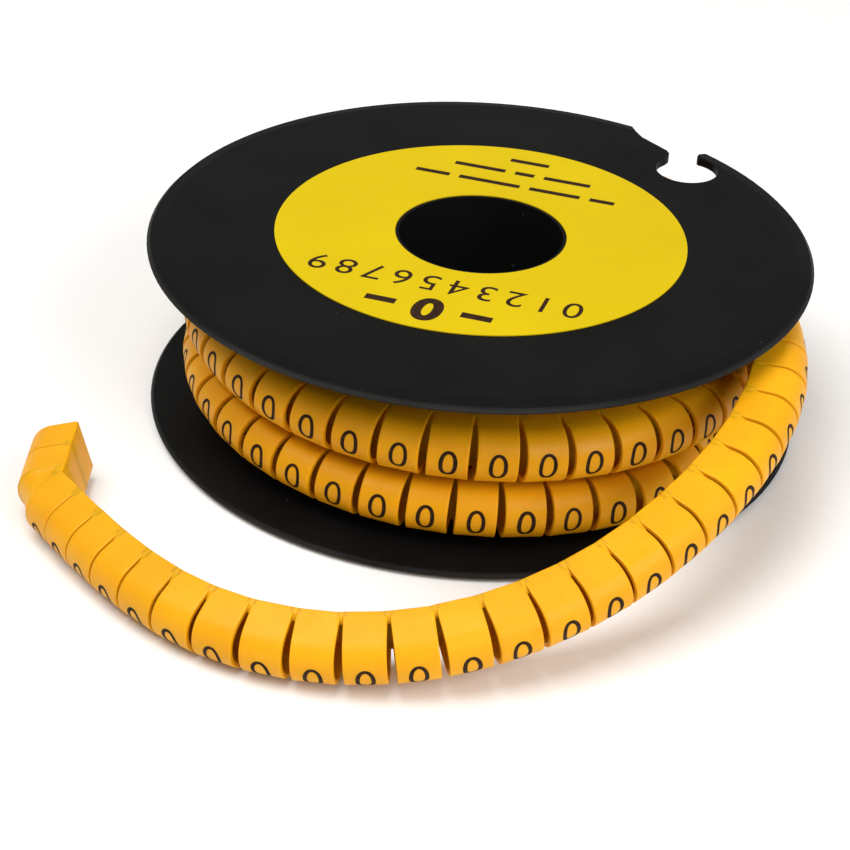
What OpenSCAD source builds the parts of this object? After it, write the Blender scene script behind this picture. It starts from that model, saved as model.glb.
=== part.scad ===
// Reel of numbered cable markers: a two-part plastic reel, a ring label and one
// strip of slit D-section markers, wound in layers, with its free end laid out in front.
// Frame: +Z up, the reel axis is Z, the table is z = 0, the photo looks along +Y.
// All sizes in millimetres and degrees.

/* [Reel] */
// Outer diameter of both flanges
reel_d = 100.5; // [96:0.5:120]
// Overall height of the reel over both flanges
reel_h = 28.5; // [28.2:0.1:34]
// Thickness of each flange
flange_t = 1.3; // [1.2:0.1:1.4]
// Width of the shallow slope along the rim of each flange
rim_slope = 2.4; // [1:0.1:4]
// Diameter of the bore through the hub
bore_d = 25; // [18:0.5:28]
// Wall of the inner hub tube and of the outer hub sleeve
hub_wall = 1.5; // [1:0.1:2]
// Radial clearance between the hub tube and the hub sleeve
hub_clear = 0.05; // [0.02:0.01:0.15]

/* [Rim notch] */
// Plan angle of the mouth of the notch
notch_angle = 44; // [0:1:359]
// Diameter of the round resting hole of the notch
notch_hole_d = 10; // [8:0.5:11]
// Land left between the resting hole and the rim
notch_land = 3; // [2:0.1:4]
// Width of the mouth between the finger and the lip
notch_mouth = 2.8; // [2:0.1:4]
// Depth by which the rim steps in before the mouth
notch_step = 4.6; // [2:0.1:6]
// Length of the stepped rim before the mouth
notch_run = 12; // [8:0.5:16]
// Length over which the stepped rim runs out, on each side of its end
notch_fade = 3; // [2:0.1:4]
// Length of the rounded lip beside the mouth
notch_lip = 2.9; // [2.2:0.1:4]

/* [Label] */
// Outer diameter of the ring label
label_d = 62.4; // [45:0.2:80]
// Thickness of the label
label_t = 0.15; // [0.1:0.01:0.3]
// How far the hole of the label stands back from the bore
label_inset = 0.5; // [0.2:0.1:2]

/* [Marker] */
// Height of a marker along the reel axis
marker_h = 8.1; // [7:0.1:8.2]
// Depth of a marker from its flat base to the top of its arch
marker_depth = 8.1; // [6.9:0.1:8.3]
// Length of a marker along the strip
marker_len = 5.65; // [4.85:0.05:5.7]
// Distance from hinge to hinge along the strip
marker_pitch = 5.85; // [5.75:0.05:6.25]
// Distance of the hinge line from the flat base
hinge_depth = 0.5; // [0.3:0.05:0.5]
// Wall thickness of the hollow D section
marker_wall = 0.75; // [0.7:0.05:1.2]
// Depth of the uncut web that joins the markers, measured from the flat base
web_depth = 1.5; // [1:0.1:2.4]

/* [Winding] */
// Radius of the outer layer, measured to the arch tops
wound_r = 45.1; // [43:0.1:46]
// Rise of the outer layer for each turn
outer_rise = 9.35; // [9.2:0.05:9.6]
// Rise of the layer below for each turn
inner_rise = 8.5; // [8.3:0.05:8.6]
// Plan angle at which the outer layer starts to climb
climb_angle = 308; // [290:1:320]
// Plan angle at which the free tail leaves the reel
leave_angle = 11; // [0:0.2:30]
// Clearance between layers and beside the flanges
wind_clear = 0.15; // [0.1:0.01:0.25]
// Number of markers that ramp from the lower layer out to the outer one
ramp_n = 6; // [6:1:7]

/* [Tail] */
// Number of markers in the free tail before the bent tip
tail_n = 28; // [10:1:34]
// Number of markers in the bent tip
tip_n = 2; // [0:1:4]
// Bend from marker to marker as the tail leaves the reel
bend_leave = -2.7; // [-4:0.1:9]
// Bend from marker to marker beside the reel
bend_side = 8.3; // [4:0.1:9]
// Bend from marker to marker on the way to the front
bend_way = 4.7; // [2:0.1:8]
// Bend from marker to marker at the front
bend_front = 7; // [4:0.1:11]
// Bend from marker to marker past the front
bend_past = 9.2; // [4:0.1:10]
// Bend at the start of the tip
bend_tip = 38; // [25:0.1:45]
// How long the tail keeps its height after it leaves the reel
fall_hold = 2.7; // [2.5:0.05:4]
// How steeply the tail then falls to the table
fall_rate = 5.8; // [3:0.1:7]
// Roll of the tail at the front, which turns its arch down
front_roll = 27; // [0:1:34]
// Tail marker at which the roll begins
roll_from = 7; // [5:1:9]
// Tail marker at which the roll is complete
roll_to = 19; // [17:1:24]
// Roll of the tip
tip_roll = 14; // [0:1:20]

/* [Hidden] */
$fn = 96;
eps = 0.01;
reel_r = reel_d / 2;
bore_r = bore_d / 2;
inner_h = reel_h - 2 * flange_t;
tube_r = bore_r + hub_wall;
sleeve_in = tube_r + hub_clear;
sleeve_r = sleeve_in + hub_wall;

// Lowest and highest middle of a row between the flanges
row_low = flange_t + marker_h / 2 + wind_clear;
row_high = reel_h - flange_t - marker_h / 2 - wind_clear;

// Base radii of the two modelled layers at the middle of a marker
base_out = wound_r - marker_depth;
base_in = base_out - marker_depth - wind_clear;
core_r = base_in - wind_clear;

// Radii of the hinge lines, half a marker away from the middle
hinge_out = sqrt(pow(base_out + hinge_depth, 2) + pow(marker_pitch / 2, 2));
hinge_in = sqrt(pow(base_in + hinge_depth, 2) + pow(marker_pitch / 2, 2));

// Angle seen from the axis between two hinges at radii ra and rb
function hinge_turn(ra, rb) =
  acos((ra * ra + rb * rb - marker_pitch * marker_pitch) / (2 * ra * rb));

step_in = hinge_turn(hinge_in, hinge_in);
step_out = hinge_turn(hinge_out, hinge_out);

// The lower layer comes down from the top row to the bottom row
lower_n = floor((row_high - row_low) / inner_rise * 360 / step_in);
// The outer layer climbs to the angle where the tail leaves, or to the top row if that comes first
climb_turn = min(360 + climb_angle - leave_angle, (row_high - row_low) / outer_rise * 360);
outer_n = floor(climb_turn / step_out);

// How far the first marker of the lower layer is sunk into the turns below it
sink = 0.6;
function ramp(f) = (1 - cos(180 * f)) / 2;
function hinge_r(i) =
  i < 2 ? hinge_in - sink :
  i <= lower_n ? hinge_in :
  i <= lower_n + ramp_n ? hinge_in + (hinge_out - hinge_in) * ramp((i - lower_n) / ramp_n) :
  hinge_out;

// Clockwise angles of the wound hinges, counted from the first one
wound_n = lower_n + ramp_n + outer_n;
wound_turn = [
  for (i = 0, a = 0; i <= wound_n; a = a + hinge_turn(hinge_r(i), hinge_r(i + 1)), i = i + 1) a
];
turn_ramp = wound_turn[lower_n];
turn_climb = wound_turn[lower_n + ramp_n];
turn_start = leave_angle + wound_turn[wound_n];

// Height of the middle of the strip at a wound hinge
function wound_z(a) =
  a < turn_ramp ? row_low + inner_rise * (turn_ramp - a) / 360 :
  a < turn_climb ? row_low :
  row_low + outer_rise * (a - turn_climb) / 360;

wound_hinges = [
  for (i = [0 : wound_n])
    let (a = turn_start - wound_turn[i])
    [hinge_r(i) * cos(a), hinge_r(i) * sin(a), wound_z(wound_turn[i])]
];

// Bend before tail marker j, running through the five named bends
tail_all = tail_n + tip_n;
tail_knot = (tail_n - 1) / 5;
function tail_bend(j) =
  j == tail_n ? bend_tip :
  j > tail_n ? 0 :
  lookup(j / tail_knot,
    [[0, bend_leave], [1, bend_side], [2, bend_way], [3, bend_front], [4, bend_past], [5, 0]]);

// Roll of tail marker j, from upright beside the reel to its full value
function tail_roll(j) =
  j >= tail_n ? tip_roll :
  front_roll * min(1, max(0, (j - roll_from) / (roll_to - roll_from)));

// Height of the hinge line where a marker with the roll of tail marker j rests on the table
function rest_z(j) =
  marker_h / 2
  + (marker_depth - marker_h / 2 - hinge_depth) * sin(tail_roll(min(j, tail_n - 1)));

// Height of the tail at hinge j, from the reel down to the table
leave_z = wound_hinges[wound_n][2];
function tail_z(j) =
  let (s = min(1, j / (tail_n - 1)))
  let (low = rest_z(j - 1))
  low + (leave_z - low) * pow(1 - pow(s, fall_hold), fall_rate);

leave_dir = turn_start - wound_turn[wound_n] - 90 - step_out / 2;
tail_dirs = [
  for (j = 0, d = leave_dir - tail_bend(0); j < tail_all; j = j + 1, d = d - tail_bend(j)) d
];
tail_hinges = [
  for (
    j = 0, p = [wound_hinges[wound_n][0], wound_hinges[wound_n][1]];
    j <= tail_all;
    p = p + (j < tail_all ? marker_pitch * [cos(tail_dirs[j]), sin(tail_dirs[j])] : [0, 0]), j = j + 1
  ) [p[0], p[1], tail_z(j)]
];

// All hinges of the modelled strip, from the lower layer to the tip of the tail
hinges = concat(wound_hinges, [for (j = [1 : tail_all]) tail_hinges[j]]);

// Roll of every marker; the wound ones stand upright
function roll(i) =
  i < wound_n ? 0 : tail_roll(i - wound_n);

// Half section of a flange with its sloped rim, outer face up
module flange_section() {
  ease = 0.4;
  nose = 0.5;
  nose_drop = 0.3;
  rim_drop = 0.8;
  polygon([
    [bore_r, 0],
    [reel_r - ease, 0],
    [reel_r, ease],
    [reel_r, flange_t - rim_drop],
    [reel_r - nose, flange_t - nose_drop],
    [reel_r - rim_slope, flange_t],
    [bore_r, flange_t]
  ]);
}

// Plan of the notch in its own frame: x runs out along the mouth, y along the rim
module notch_plan() {
  hole_x = reel_r - notch_land - notch_hole_d / 2;
  hole_y = -(notch_hole_d / 2 - 1);
  lip_x = reel_r - notch_step - 0.9;
  finger_y = 1.5 - notch_mouth;
  translate([hole_x, hole_y])
    circle(d = notch_hole_d);
  polygon([
    [hole_x, finger_y - 1.6],
    [reel_r - notch_land - 0.6, finger_y - 1.6],
    [reel_r - notch_land, finger_y - 0.5],
    [reel_r - notch_land + 1, finger_y],
    [reel_r - 0.9, finger_y - 0.1],
    [reel_r + 1, finger_y - 1],
    [reel_r + 1, notch_run + notch_fade],
    [reel_r - 2.2, notch_run + 1.4],
    [reel_r - notch_step + 0.9, notch_run - 0.8],
    [reel_r - notch_step, notch_run - notch_fade],
    [lip_x + 0.3, notch_lip],
    [lip_x - 0.2, 1.9],
    [lip_x - 1, 1.3],
    [hole_x, 0.9]
  ]);
}

// Upper half of the reel with the outer hub sleeve and the rim notch
module upper_flange() {
  color([0.09, 0.09, 0.09])
    union() {
      translate([0, 0, reel_h - flange_t])
        difference() {
          rotate_extrude()
            flange_section();
          rotate([0, 0, notch_angle])
            translate([0, 0, -1])
              linear_extrude(flange_t + 2)
                notch_plan();
        }
      translate([0, 0, flange_t])
        linear_extrude(inner_h + eps)
          difference() {
            circle(sleeve_r);
            circle(sleeve_in);
          }
    }
}

// Lower half of the reel with the inner hub tube
module lower_flange() {
  color([0.09, 0.09, 0.09])
    union() {
      translate([0, 0, flange_t])
        mirror([0, 0, 1])
          rotate_extrude()
            flange_section();
      translate([0, 0, flange_t - eps])
        linear_extrude(inner_h + eps)
          difference() {
            circle(tube_r);
            circle(bore_r);
          }
    }
}

// Ring label on the upper flange
module label() {
  color([0.91, 0.81, 0.02])
    translate([0, 0, reel_h])
      linear_extrude(label_t)
        difference() {
          circle(d = label_d);
          circle(bore_r + label_inset);
        }
}

// Solid D section, inset by g on every side
module arch(g) {
  r = marker_h / 2 - g;
  intersection() {
    union() {
      translate([g, -r])
        square([marker_depth - marker_h / 2 - g, 2 * r]);
      translate([marker_depth - marker_h / 2, 0])
        circle(r);
    }
    translate([g, -r])
      square([marker_depth - 2 * g, 2 * r]);
  }
}

// Stands its children on the line from a to b: x outward, y up, z along the strip, then rolled
module along(a, b, turn) {
  run = norm([b[0] - a[0], b[1] - a[1]]);
  dir = atan2(b[1] - a[1], b[0] - a[0]);
  rise = atan2(b[2] - a[2], run);
  rotate([90 - rise, 0, dir + 90])
    rotate([0, 0, -turn])
      translate([-hinge_depth, 0, 0])
        children();
}

// Hollow marker i between its two hinges
module marker(i) {
  translate(hinges[i])
    along(hinges[i], hinges[i + 1], roll(i))
      translate([0, 0, (marker_pitch - marker_len) / 2])
        linear_extrude(marker_len)
          difference() {
            arch(0);
            arch(marker_wall);
          }
}

// How far the web is set back from the faces of the wall that it is let into
web_set = marker_wall * 0.24;

// Section of the web: a channel let into the base wall and the two side walls
module web_section() {
  g = web_set;
  y = marker_h / 2;
  difference() {
    translate([g, g - y])
      square([web_depth - g, 2 * (y - g)]);
    translate([marker_wall - g, marker_wall - g - y])
      square([web_depth, 2 * (y - marker_wall + g)]);
  }
}

// Section of the narrow web that is left at the sharp bend of the tip
module bend_section() {
  bend_web_h = 2.4;
  translate([web_set, -bend_web_h / 2])
    square([marker_wall - 2 * web_set, bend_web_h]);
}

// Web across the slit at hinge i, let into the markers on both sides
module web(i) {
  slit = marker_pitch - marker_len;
  lap = 0.3;
  translate(hinges[i])
    along(hinges[i - 1], hinges[i + 1], (roll(i - 1) + roll(i)) / 2)
      translate([0, 0, -slit / 2 - lap])
        linear_extrude(slit + 2 * lap)
          if (i == wound_n + tail_n)
            bend_section();
          else
            web_section();
}

// The strip: hidden inner turns as one ring, then every marker of the visible layers and the tail
module marker_strip() {
  color([0.96, 0.65, 0.05])
    union() {
      translate([0, 0, flange_t])
        linear_extrude(inner_h - wind_clear)
          difference() {
            circle(core_r);
            circle(sleeve_r);
          }
      for (i = [0 : len(hinges) - 2])
        marker(i);
      for (i = [1 : len(hinges) - 2])
        web(i);
    }
}

upper_flange();
lower_flange();
label();
marker_strip();
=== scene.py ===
"""Dressed scene of a reel of numbered cable markers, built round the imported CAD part."""

import math
import random

import bpy
from mathutils import Matrix, Vector


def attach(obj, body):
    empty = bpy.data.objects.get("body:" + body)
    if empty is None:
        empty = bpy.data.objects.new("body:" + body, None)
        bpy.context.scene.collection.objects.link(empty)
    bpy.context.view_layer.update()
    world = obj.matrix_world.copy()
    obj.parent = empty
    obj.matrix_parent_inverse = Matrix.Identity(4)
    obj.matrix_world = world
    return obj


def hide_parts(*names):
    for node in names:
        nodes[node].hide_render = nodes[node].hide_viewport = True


MM = 0.001
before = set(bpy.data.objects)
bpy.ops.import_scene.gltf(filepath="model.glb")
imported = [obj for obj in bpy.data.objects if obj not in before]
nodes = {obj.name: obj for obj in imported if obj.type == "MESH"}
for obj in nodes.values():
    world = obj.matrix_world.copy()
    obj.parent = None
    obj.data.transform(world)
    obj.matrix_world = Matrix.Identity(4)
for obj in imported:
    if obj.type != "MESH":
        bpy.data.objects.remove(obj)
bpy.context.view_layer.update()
scene = bpy.context.scene
rng = random.Random(7)

# Sizes repeated from the part's source, in millimetres and degrees
REEL_H, FLANGE_T = 28.5, 1.3
SLEEVE_R = 15.55
MARKER_H, MARKER_DEPTH, MARKER_LEN, PITCH = 8.1, 8.1, 5.65, 5.85
HINGE, WALL, WEB_DEPTH = 0.5, 0.75, 1.5
WOUND_R, OUTER_RISE, INNER_RISE = 45.1, 9.35, 8.5
CLIMB_ANGLE, LEAVE_ANGLE, CLEAR, RAMP_N = 308.0, 11.0, 0.15, 6
TAIL_N, TIP_N = 28, 2
TAIL_BENDS = (-2.7, 8.3, 4.7, 7.0, 9.2, 0.0)
BEND_TIP = 38.0
FALL_HOLD, FALL_RATE = 2.7, 5.8
FRONT_ROLL, ROLL_FROM, ROLL_TO, TIP_ROLL = 27.0, 7, 19, 14.0
LABEL_T = 0.15

# The dressed markers stay this far inside the CAD skin, so that their print does too
SKIN = 0.03

# Eased corner of the D section, and steps of its arch where it is seen and where it is hidden
CORNER, ARC_SEEN, ARC_HIDDEN = 0.28, 28, 14

# Rings at each end of a marker as (distance from the end, inset), on its outside and in its bore
OUTER_EDGE = ((0, SKIN + 0.10), (0.03, SKIN + 0.03), (0.10, SKIN), (0.35, SKIN))
BORE_EDGE = ((0, WALL - 0.06), (0.08, WALL))

# Largest random set of a marker: how far it sinks, and how far it turns in degrees
SINK, SWAY = 0.05, 0.5

# A web covers the markers by a hair, laps onto each and fades into the slit, less so where slits gape
WEB_SKIN = SKIN - 0.01
WEB_LAP, WEB_FADE, WEB_FADE_LESS = 0.5, 1.1, 0.9

# Printed nought: half its width and height, and how far it stands off the marker
NOUGHT_HALF_W, NOUGHT_HALF_H, NOUGHT_LIFT = 1.32, 2.02, 0.012

# Print on the label: turn in degrees, lift, step of the digits, and the bars that stand for words
LABEL_TURN, LABEL_LIFT, DIGIT_STEP = 163, 0.0015, 4.3
WORD_GAP, WORD_T = 1.6, 1.15

# Share of the opened slits that the soft markers fill by leaning into them
SLIT_FILL_TAIL, SLIT_FILL_WOUND = 0.62, 0.12

# Tail joint where the slits gape most, and how many joints away they are narrow again
GAPE_JOINT, GAPE_SPAN = 18.3, 5.0


def tail_roll(j):
    """Roll in degrees of tail marker j, counted from where the strip leaves the reel."""
    if j >= TAIL_N:
        return TIP_ROLL
    return FRONT_ROLL * min(1, max(0, (j - ROLL_FROM) / (ROLL_TO - ROLL_FROM)))


def strip_path():
    """Hinge points and rolls of the strip, with the number of markers in the lower layer."""
    row_low = FLANGE_T + MARKER_H / 2 + CLEAR
    row_high = REEL_H - FLANGE_T - MARKER_H / 2 - CLEAR
    base_out = WOUND_R - MARKER_DEPTH
    base_in = base_out - MARKER_DEPTH - CLEAR
    h_out = math.hypot(base_out + HINGE, PITCH / 2)
    h_in = math.hypot(base_in + HINGE, PITCH / 2)

    def turn(a, b):
        return math.degrees(math.acos((a * a + b * b - PITCH * PITCH) / (2 * a * b)))

    step_in, step_out = turn(h_in, h_in), turn(h_out, h_out)
    lower_n = math.floor((row_high - row_low) / INNER_RISE * 360 / step_in)
    climb = min(360 + CLIMB_ANGLE - LEAVE_ANGLE, (row_high - row_low) / OUTER_RISE * 360)
    outer_n = math.floor(climb / step_out)
    wound_n = lower_n + RAMP_N + outer_n

    def radius(i):
        if i < 2:
            return h_in - 0.6
        if i <= lower_n:
            return h_in
        f = min(1, (i - lower_n) / RAMP_N)
        return h_in + (h_out - h_in) * (1 - math.cos(math.pi * f)) / 2

    turns = [0.0]
    for i in range(wound_n):
        turns.append(turns[-1] + turn(radius(i), radius(i + 1)))
    ramp_turn, climb_turn = turns[lower_n], turns[lower_n + RAMP_N]
    points = []
    for i, t in enumerate(turns):
        a = math.radians(LEAVE_ANGLE + turns[-1] - t)
        if t < ramp_turn:
            z = row_low + INNER_RISE * (ramp_turn - t) / 360
        else:
            z = row_low + OUTER_RISE * max(0, t - climb_turn) / 360
        points.append(Vector((radius(i) * math.cos(a), radius(i) * math.sin(a), z)))

    rolls = [0.0] * wound_n
    z0 = points[-1].z
    heading = LEAVE_ANGLE - 90 - step_out / 2
    knot = (TAIL_N - 1) / (len(TAIL_BENDS) - 1)
    for j in range(TAIL_N + TIP_N):
        if j < TAIL_N:
            k = min(int(j / knot), len(TAIL_BENDS) - 2)
            f = j / knot - k
            heading -= TAIL_BENDS[k] * (1 - f) + TAIL_BENDS[k + 1] * f
        elif j == TAIL_N:
            heading -= BEND_TIP
        rest_roll = math.radians(tail_roll(min(j, TAIL_N - 1)))
        low = MARKER_H / 2 + (MARKER_DEPTH - MARKER_H / 2 - HINGE) * math.sin(rest_roll)
        s = min(1, (j + 1) / (TAIL_N - 1))
        way = math.radians(heading)
        p = points[-1] + PITCH * Vector((math.cos(way), math.sin(way), 0))
        p.z = low + (z0 - low) * (1 - s**FALL_HOLD) ** FALL_RATE
        points.append(p)
        rolls.append(tail_roll(j))
    return points, rolls, lower_n


hinges, rolls, lower_n = strip_path()


class Marker:
    """Local frame of one marker: depth outward, height up, length along the strip."""

    def __init__(self, i):
        a, b = hinges[i], hinges[i + 1]
        run = math.hypot(b.x - a.x, b.y - a.y)
        along = (b - a).normalized()
        out = Vector((-(b.y - a.y) / run, (b.x - a.x) / run, 0))
        up = along.cross(out)
        r = math.radians(rolls[i])
        self.mid = (a + b) / 2
        self.along = along
        self.out = out * math.cos(r) - up * math.sin(r)
        self.up = up * math.cos(r) + out * math.sin(r)
        loose = i >= lower_n
        self.shift = -SINK * rng.random() if loose else 0.0
        self.yaw = math.radians(rng.uniform(-SWAY, SWAY)) if loose else 0.0
        self.tilt = math.radians(rng.uniform(-SWAY, SWAY)) if loose else 0.0
        self.tone = rng.random()
        self.lean_back = self.lean_ahead = 0.0

    def end_at(self, depth, height, length):
        """As at, with the ends leaning into the slits, as the soft strip does where it bends."""
        lean = self.lean_ahead if length > 0 else self.lean_back
        return self.at(depth, height, length * (1 + lean * max(0, depth - HINGE) * 2 / MARKER_LEN))

    def at(self, depth, height, length):
        """World point in metres of a point given from the flat base and the middle of the marker."""
        s = length - depth * math.sin(self.yaw) * 0.4
        d = depth - HINGE + length * math.sin(self.yaw) * 0.5 + self.shift
        h = height + length * math.sin(self.tilt) * 0.4
        return (self.mid + self.out * d + self.up * h + self.along * s) * MM


markers = [Marker(i) for i in range(len(hinges) - 1)]
tail_from = len(markers) - TAIL_N - TIP_N


def gape(i):
    """How near the joint after marker i is to the front of the tail, from 0 to 1."""
    return max(0, 1 - ((i + 1 - tail_from - GAPE_JOINT) / GAPE_SPAN) ** 2)


for i, (a, b) in enumerate(zip(markers, markers[1:])):
    if b.along.dot(a.out) < 0 and i != len(markers) - TIP_N - 1:
        share = SLIT_FILL_TAIL * (1 - gape(i)) if i >= tail_from else SLIT_FILL_WOUND
        a.lean_ahead = b.lean_back = share * math.tan(a.along.angle(b.along) / 2)


def d_section(inset, arc_n, corner):
    """Closed outline of the D section, inset on every side, as (depth, height) pairs."""
    r = MARKER_H / 2 - inset
    cx = MARKER_DEPTH - MARKER_H / 2
    c = min(corner, r * 0.5)
    pts = []
    for k in range(4):
        a = math.pi / 2 * (1 + (3 - k) / 3)
        pts.append((inset + c + c * math.cos(a), r - c + c * math.sin(a)))
    for k in range(arc_n + 1):
        a = math.pi / 2 - math.pi * k / arc_n
        pts.append((cx + r * math.cos(a), r * math.sin(a)))
    for k in range(4):
        a = -math.pi / 2 - math.pi / 2 * k / 3
        pts.append((inset + c + c * math.cos(a), -r + c + c * math.sin(a)))
    for k in range(1, 4):
        pts.append((inset, (-r + c) * (1 - k / 2)))
    return pts


def add_mesh(name, verts, faces, smooth=True):
    mesh = bpy.data.meshes.new(name)
    mesh.from_pydata([tuple(v) for v in verts], [], faces)
    mesh.validate()
    for p in mesh.polygons:
        p.use_smooth = smooth
    obj = bpy.data.objects.new(name, mesh)
    scene.collection.objects.link(obj)
    return obj


def ring_faces(first, count, rings):
    """Quads of a closed loop of rings with count points each."""
    out = []
    for i in range(rings):
        a, b = first + i * count, first + ((i + 1) % rings) * count
        for k in range(count):
            m = (k + 1) % count
            out.append((a + k, a + m, b + m, b + k))
    return out


def build_strip():
    """Every marker as a hollow D tube with eased edges, the uncut webs and the crease at the bent tip."""
    verts, faces, tones = [], [], []
    half = MARKER_LEN / 2
    rings = [(d - half, inset) for d, inset in OUTER_EDGE]
    rings += [(half - d, inset) for d, inset in OUTER_EDGE[::-1] + BORE_EDGE]
    rings += [(d - half, inset) for d, inset in BORE_EDGE[::-1]]
    for i, mk in enumerate(markers):
        arc_n = ARC_HIDDEN if i < lower_n else ARC_SEEN
        first = len(verts)
        count = 0
        for s, inset in rings:
            ring = d_section(inset, arc_n, CORNER)
            count = len(ring)
            verts += [mk.end_at(x, y, s) for x, y in ring]
        tones += [mk.tone] * (len(verts) - first)
        faces += ring_faces(first, count, len(rings))
    y0, y1 = MARKER_H / 2 - WEB_SKIN, MARKER_H / 2 - WALL + 0.05
    x0, x1 = WEB_SKIN, WALL - 0.05
    for i, (a, b) in enumerate(zip(markers, markers[1:])):
        x2 = WEB_DEPTH + WEB_FADE - WEB_FADE_LESS * gape(i)
        side = [(x2, y1 + 0.02), (x2 * 0.8, y0 - 0.36), (x2 * 0.6, y0 - 0.12), (x2 * 0.38, y0)]
        side += [(x0 + 0.27, y0), (x0 + 0.08, y0 - 0.08), (x0, y0 - 0.27)]
        channel = side + [(x, -y) for x, y in reversed(side)] + [(x2, -y1), (x1, -y1), (x1, y1), (x2, y1)]
        n = len(channel)
        first = len(verts)
        verts += [a.at(x, y, half - WEB_LAP) for x, y in channel]
        verts += [b.at(x, y, -half + WEB_LAP) for x, y in channel]
        tones += [a.tone] * n + [b.tone] * n
        for k in range(n):
            m = (k + 1) % n
            faces.append((first + k, first + m, first + n + m, first + n + k))
        faces.append(tuple(first + n - 1 - k for k in range(n)))
        faces.append(tuple(first + n + k for k in range(n)))
    a, b = markers[-TIP_N - 1], markers[-TIP_N]
    first = len(verts)
    count = 0
    for share, inset in ((0.0, 0.1), (0.5, 0.5), (1.0, 0.1), (1.0, WALL), (0.5, WALL + 0.2), (0.0, WALL)):
        ring = d_section(SKIN + inset, ARC_SEEN, CORNER)
        count = len(ring)
        verts += [a.at(x, y, half - 0.02).lerp(b.at(x, y, 0.02 - half), share) for x, y in ring]
        tones += [b.tone] * count
    faces += ring_faces(first, count, 6)
    strip = add_mesh("marker_strip_dressed", verts, faces)
    strip.data.attributes.new("tone", "FLOAT", "POINT").data.foreach_set("value", tones)
    strip.data.set_sharp_from_angle(angle=math.radians(50))
    return strip


def build_core():
    """The hidden inner turns, one grooved ring from the hub sleeve to the lower layer."""
    r1 = WOUND_R - 2 * MARKER_DEPTH - 2 * CLEAR - 0.01
    r0 = SLEEVE_R + 0.02
    z0, z1 = FLANGE_T + 0.02, REEL_H - FLANGE_T - CLEAR
    loop = [(r0, z0), (r1 - 0.3, z0), (r1, z0 + 0.3)]
    for row in range(2):
        mid = z0 + (z1 - z0) * (row + 1) / 3
        loop += [(r1, mid - 0.5), (r1 - 0.5, mid), (r1, mid + 0.5)]
    loop += [(r1, z1 - 0.3), (r1 - 0.3, z1), (r0, z1)]
    n = 120
    verts = []
    for k in range(n):
        a = 2 * math.pi * k / n
        verts += [Vector((r * math.cos(a), r * math.sin(a), z)) * MM for r, z in loop]
    core = add_mesh("inner_turns", verts, ring_faces(0, len(loop), n))
    core.data.attributes.new("tone", "FLOAT", "POINT")
    core.data.set_sharp_from_angle(angle=math.radians(35))
    return core


def build_numerals():
    """A narrow oval nought printed on the arch of every marker, as a thin skin on the surface."""
    verts, faces = [], []
    n = 44
    cx = MARKER_DEPTH - MARKER_H / 2
    r = MARKER_H / 2 - SKIN + NOUGHT_LIFT
    for mk in markers:
        off_s = rng.uniform(-0.15, 0.15)
        off_t = rng.uniform(-0.12, 0.12)
        lean = math.radians(rng.uniform(-2.5, 2.5))
        stroke = rng.uniform(0.54, 0.62)
        first = len(verts)
        for k in range(n):
            a = 2 * math.pi * k / n
            ca, sa = math.cos(a), math.sin(a)
            thick = stroke * (0.78 + 0.22 * abs(ca))
            for edge in (0, thick):
                w, h = NOUGHT_HALF_W - edge, NOUGHT_HALF_H - edge
                px = w * math.copysign(abs(ca) ** 0.9, ca)
                py = h * math.copysign(abs(sa) ** 0.9, sa)
                s = px * math.cos(lean) - py * math.sin(lean) + off_s
                t = (px * math.sin(lean) + py * math.cos(lean) + off_t) / r
                verts.append(mk.at(cx + r * math.cos(t), r * math.sin(t), s))
        for k in range(n):
            p, q = first + 2 * k, first + 2 * ((k + 1) % n)
            faces.append((p, q, q + 1, p + 1))
    return add_mesh("printed_numerals", verts, faces)


def build_label_print():
    """Generic print on the ring label: a bold nought, a line of plain digits and rows of plain bars."""
    made = []
    z = (REEL_H + LABEL_T + LABEL_LIFT) * MM
    turn = math.radians(LABEL_TURN)
    read = Vector((math.cos(turn), math.sin(turn), 0))
    rise = Vector((-math.sin(turn), math.cos(turn), 0))

    def place(across, height):
        p = (read * across + rise * height) * MM
        p.z = z
        return p

    def digit(text, across, height, size, bold):
        curve = bpy.data.curves.new("digit", "FONT")
        curve.body = text
        curve.size = size * MM
        curve.align_x = "CENTER"
        curve.align_y = "CENTER"
        curve.offset = bold * MM
        curve.resolution_u = 8
        obj = bpy.data.objects.new("digit", curve)
        scene.collection.objects.link(obj)
        obj.location = place(across, height)
        obj.rotation_euler = (0, 0, turn)
        made.append(obj)

    digit("0", 0, 25.4, 8.6, 0.36)
    for k in range(10):
        digit(str(k), (k - 4.5) * DIGIT_STEP, 17.8, 6.4, 0.0)
    bpy.context.view_layer.update()
    dg = bpy.context.evaluated_depsgraph_get()
    verts, faces = [], []
    for o in made:
        m = o.evaluated_get(dg).to_mesh()
        first = len(verts)
        verts += [o.matrix_world @ v.co for v in m.vertices]
        faces += [tuple(first + i for i in p.vertices) for p in m.polygons]
        o.evaluated_get(dg).to_mesh_clear()
    for o in made:
        curve = o.data
        bpy.data.objects.remove(o)
        bpy.data.curves.remove(curve)

    def bar(across, height, length, thick):
        first = len(verts)
        for dx, dy in ((-1, -1), (1, -1), (1, 1), (-1, 1)):
            verts.append(place(across + dx * length / 2, height + dy * thick / 2))
        faces.append((first, first + 1, first + 2, first + 3))

    bar(-7.2, 25.3, 4.6, 1.5)
    bar(7.2, 25.3, 4.6, 1.5)
    rows = (
        (-17.6, (4.0, 8.2, 10.0, 5.6)),
        (-22.2, (7.6, 3.2, 8.4)),
        (-26.6, (6.4,)),
    )
    for height, words in rows:
        x = -(sum(words) + WORD_GAP * (len(words) - 1)) / 2
        for w in words:
            bar(x + w / 2, height, w, WORD_T)
            x += w + WORD_GAP
    return add_mesh("label_print", verts, faces, smooth=False)


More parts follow.
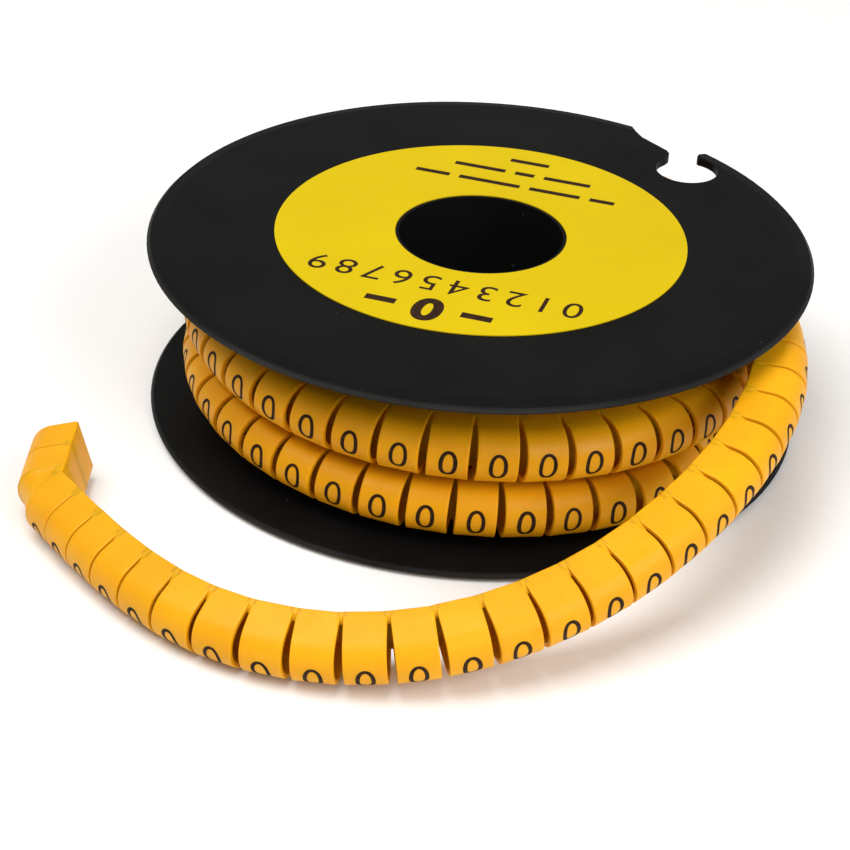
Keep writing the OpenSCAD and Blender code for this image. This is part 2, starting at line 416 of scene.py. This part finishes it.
def node_material(name):
    mat = bpy.data.materials.new(name)
    mat.use_nodes = True
    return mat, mat.node_tree, mat.node_tree.nodes["Principled BSDF"]


def noise(tree, coord, scale, detail=3.0, rough=0.5, stretch=None):
    n = tree.nodes.new("ShaderNodeTexNoise")
    n.inputs["Scale"].default_value = scale
    n.inputs["Detail"].default_value = detail
    n.inputs["Roughness"].default_value = rough
    if stretch:
        m = tree.nodes.new("ShaderNodeMapping")
        m.inputs["Scale"].default_value = stretch
        tree.links.new(coord, m.inputs["Vector"])
        coord = m.outputs["Vector"]
    tree.links.new(coord, n.inputs["Vector"])
    return n.outputs["Fac"]


def ramp(tree, fac, stops):
    r = tree.nodes.new("ShaderNodeValToRGB")
    for e, (pos, col) in zip(r.color_ramp.elements, stops):
        e.position = pos
        e.color = col
    tree.links.new(fac, r.inputs["Fac"])
    return r.outputs["Color"]


def mix_color(tree, fac, a, b, blend="MIX"):
    m = tree.nodes.new("ShaderNodeMix")
    m.data_type = "RGBA"
    m.blend_type = blend
    for sock, val in ((m.inputs[0], fac), (m.inputs[6], a), (m.inputs[7], b)):
        if isinstance(val, bpy.types.NodeSocket):
            tree.links.new(val, sock)
        else:
            sock.default_value = val
    return m.outputs[2]


def map_range(tree, fac, lo, hi, to_lo, to_hi):
    m = tree.nodes.new("ShaderNodeMapRange")
    for k, v in (("From Min", lo), ("From Max", hi), ("To Min", to_lo), ("To Max", to_hi)):
        m.inputs[k].default_value = v
    tree.links.new(fac, m.inputs["Value"])
    return m.outputs["Result"]


def times(tree, a, b):
    m = tree.nodes.new("ShaderNodeMath")
    m.operation = "MULTIPLY"
    tree.links.new(a, m.inputs[0])
    tree.links.new(b, m.inputs[1])
    return m.outputs[0]


def bump(tree, shader, height, strength, distance):
    b = tree.nodes.new("ShaderNodeBump")
    b.inputs["Strength"].default_value = strength
    b.inputs["Distance"].default_value = distance
    tree.links.new(height, b.inputs["Height"])
    tree.links.new(b.outputs["Normal"], shader.inputs["Normal"])


def object_coord(tree):
    return tree.nodes.new("ShaderNodeTexCoord").outputs["Object"]


def grey(v):
    return (v, v, v, 1)


def vinyl_material():
    mat, tree, bsdf = node_material("amber_vinyl")
    co = object_coord(tree)
    stops = [(0.3, (0.70, 0.310, 0.003, 1)), (0.7, (0.79, 0.365, 0.005, 1))]
    base = ramp(tree, noise(tree, co, 90, 3), stops)
    tone = tree.nodes.new("ShaderNodeAttribute")
    tone.attribute_name = "tone"
    shade = ramp(tree, tone.outputs["Fac"], [(0.0, grey(0.92)), (1.0, grey(1.0))])
    color = mix_color(tree, 1.0, base, shade, "MULTIPLY")
    dust = map_range(tree, noise(tree, co, 900, 4, 0.65), 0.66, 0.8, 0.0, 0.35)
    color = mix_color(tree, dust, color, (0.54, 0.20, 0.010, 1))
    tree.links.new(color, bsdf.inputs["Base Color"])
    gloss = map_range(tree, noise(tree, co, 260, 4), 0.3, 0.7, 0.36, 0.50)
    tree.links.new(gloss, bsdf.inputs["Roughness"])
    bsdf.inputs["Subsurface Weight"].default_value = 0.3
    bsdf.inputs["Subsurface Radius"].default_value = (1.0, 0.32, 0.06)
    bsdf.inputs["Subsurface Scale"].default_value = 0.0016
    bsdf.inputs["Specular IOR Level"].default_value = 0.16
    bump(tree, bsdf, noise(tree, co, 1400, 3, 0.6), 0.12, 0.00006)
    return mat


def ink_material():
    mat, tree, bsdf = node_material("print_ink")
    co = object_coord(tree)
    stops = [(0.35, (0.014, 0.005, 0.002, 1)), (0.75, (0.040, 0.016, 0.005, 1))]
    tree.links.new(ramp(tree, noise(tree, co, 1500, 3), stops), bsdf.inputs["Base Color"])
    gloss = map_range(tree, noise(tree, co, 600, 2), 0.3, 0.7, 0.55, 0.7)
    tree.links.new(gloss, bsdf.inputs["Roughness"])
    bsdf.inputs["Specular IOR Level"].default_value = 0.12
    return mat


def reel_material():
    mat, tree, bsdf = node_material("black_moulded_plastic")
    co = object_coord(tree)
    stops = [(0.3, (0.0036, 0.0036, 0.0036, 1)), (0.75, (0.0062, 0.0062, 0.0060, 1))]
    base = ramp(tree, noise(tree, co, 60, 4), stops)
    specks = map_range(tree, noise(tree, co, 1300, 2, 0.5), 0.765, 0.80, 0.0, 0.5)
    base = mix_color(tree, specks, base, (0.16, 0.16, 0.155, 1))
    scratch = map_range(tree, noise(tree, co, 60, 5, 0.7, (1.0, 14.0, 1.0)), 0.69, 0.73, 0.0, 0.35)
    haze = map_range(tree, noise(tree, co, 45, 3), 0.55, 0.8, 0.0, 1.0)
    base = mix_color(tree, times(tree, scratch, haze), base, (0.06, 0.06, 0.06, 1))
    flat = tree.nodes.new("ShaderNodeMapping")
    flat.inputs["Scale"].default_value = (1, 1, 0)
    tree.links.new(co, flat.inputs["Vector"])
    radius = tree.nodes.new("ShaderNodeVectorMath")
    radius.operation = "LENGTH"
    tree.links.new(flat.outputs["Vector"], radius.inputs[0])
    # Painted highlight: a lighter ring along the flange rim edge, broken up by noise, painted where the
    # rim edge catches the light
    edge = map_range(tree, radius.outputs["Value"], 0.0496, 0.0501, 0.0, 0.4)
    rim_highlight_breakup = map_range(tree, noise(tree, co, 45, 3), 0.25, 0.75, 0.0, 1.0)
    base = mix_color(tree, times(tree, edge, rim_highlight_breakup), base, (0.050, 0.052, 0.052, 1))
    tree.links.new(base, bsdf.inputs["Base Color"])
    gloss = map_range(tree, noise(tree, co, 150, 4), 0.3, 0.7, 0.42, 0.48)
    tree.links.new(gloss, bsdf.inputs["Roughness"])
    bsdf.inputs["Specular IOR Level"].default_value = 0.05
    bump(tree, bsdf, noise(tree, co, 2200, 3, 0.6), 0.16, 0.00005)
    return mat


def label_material():
    mat, tree, bsdf = node_material("yellow_label")
    co = object_coord(tree)
    stops = [(0.3, (0.52, 0.375, 0.0006, 1)), (0.7, (0.56, 0.410, 0.0010, 1))]
    base = ramp(tree, noise(tree, co, 55, 3), stops)
    fleck = map_range(tree, noise(tree, co, 1700, 2), 0.7, 0.8, 0.0, 0.3)
    base = mix_color(tree, fleck, base, (0.38, 0.27, 0.01, 1))
    tree.links.new(base, bsdf.inputs["Base Color"])
    gloss = map_range(tree, noise(tree, co, 220, 3), 0.3, 0.7, 0.42, 0.55)
    tree.links.new(gloss, bsdf.inputs["Roughness"])
    bsdf.inputs["Specular IOR Level"].default_value = 0.08
    bump(tree, bsdf, noise(tree, co, 700, 4, 0.6), 0.1, 0.00006)
    return mat


def floor_material():
    mat, tree, bsdf = node_material("pale_floor")
    co = object_coord(tree)
    base = ramp(tree, noise(tree, co, 6, 3), [(0.3, grey(0.80)), (0.7, grey(0.84))])
    tree.links.new(base, bsdf.inputs["Base Color"])
    gloss = map_range(tree, noise(tree, co, 40, 3), 0.3, 0.7, 0.6, 0.7)
    tree.links.new(gloss, bsdf.inputs["Roughness"])
    bsdf.inputs["Specular IOR Level"].default_value = 0.2
    return mat


def set_material(obj, mat):
    obj.data.materials.clear()
    obj.data.materials.append(mat)


vinyl, ink, black, yellow = vinyl_material(), ink_material(), reel_material(), label_material()
strip, core = build_strip(), build_core()
numerals, label_print = build_numerals(), build_label_print()
for piece, mat, slot in (
    (strip, vinyl, "strip"),
    (core, vinyl, "strip"),
    (numerals, ink, "strip"),
    (label_print, ink, "label"),
):
    set_material(piece, mat)
    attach(piece, "root")
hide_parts("marker_strip")
for name in ("upper_flange", "lower_flange"):
    set_material(nodes[name], black)
set_material(nodes["label"], yellow)


def add_floor():
    e, z = 3.0, -0.0001
    corners = [(-e, -e, z), (e, -e, z), (e, e, z), (-e, e, z)]
    floor = add_mesh("floor", corners, [(0, 1, 2, 3)], smooth=False)
    set_material(floor, floor_material())


def add_area(name, loc, target, size, power, color=(1, 1, 1)):
    data = bpy.data.lights.new(name, "AREA")
    data.shape = "RECTANGLE"
    data.size, data.size_y = size
    data.energy = power
    data.color = color
    obj = bpy.data.objects.new(name, data)
    obj.location = loc
    obj.rotation_euler = (Vector(target) - Vector(loc)).to_track_quat("-Z", "Y").to_euler()
    scene.collection.objects.link(obj)


def add_world():
    world = bpy.data.worlds.new("studio")
    scene.world = world
    world.use_nodes = True
    bg = world.node_tree.nodes["Background"]
    bg.inputs["Color"].default_value = (1.0, 0.99, 0.97, 1)
    bg.inputs["Strength"].default_value = 0.4


def add_camera():
    el, roll = math.radians(32.0056), math.radians(2.8483)
    pos = Vector((-7.0186, -297.8602, 180.0785)) * MM
    back = Vector((0, -math.cos(el), math.sin(el)))
    right = Vector((0, 0, 1)).cross(back).normalized()
    up = back.cross(right)
    turn = Matrix((right, up, back)).transposed() @ Matrix.Rotation(roll, 3, "Z")
    data = bpy.data.cameras.new("camera")
    data.sensor_width = 36.0
    data.lens = 2200 / 850 * 36.0
    data.clip_start, data.clip_end = 0.01, 20
    cam = bpy.data.objects.new("camera", data)
    cam.matrix_world = Matrix.Translation(pos) @ turn.to_4x4()
    scene.collection.objects.link(cam)
    scene.camera = cam


add_floor()
add_world()
add_area("key", (-0.25, -0.15, 0.75), (0, -0.02, 0), (0.6, 0.6), 6.5, (1.0, 0.98, 0.95))
add_area("fill", (0.5, -0.5, 0.45), (0, -0.02, 0.01), (0.5, 0.5), 4.5, (1.0, 0.99, 0.98))
add_camera()
scene.view_settings.view_transform = "Standard"
scene.view_settings.look = "None"

bpy.context.view_layer.update()
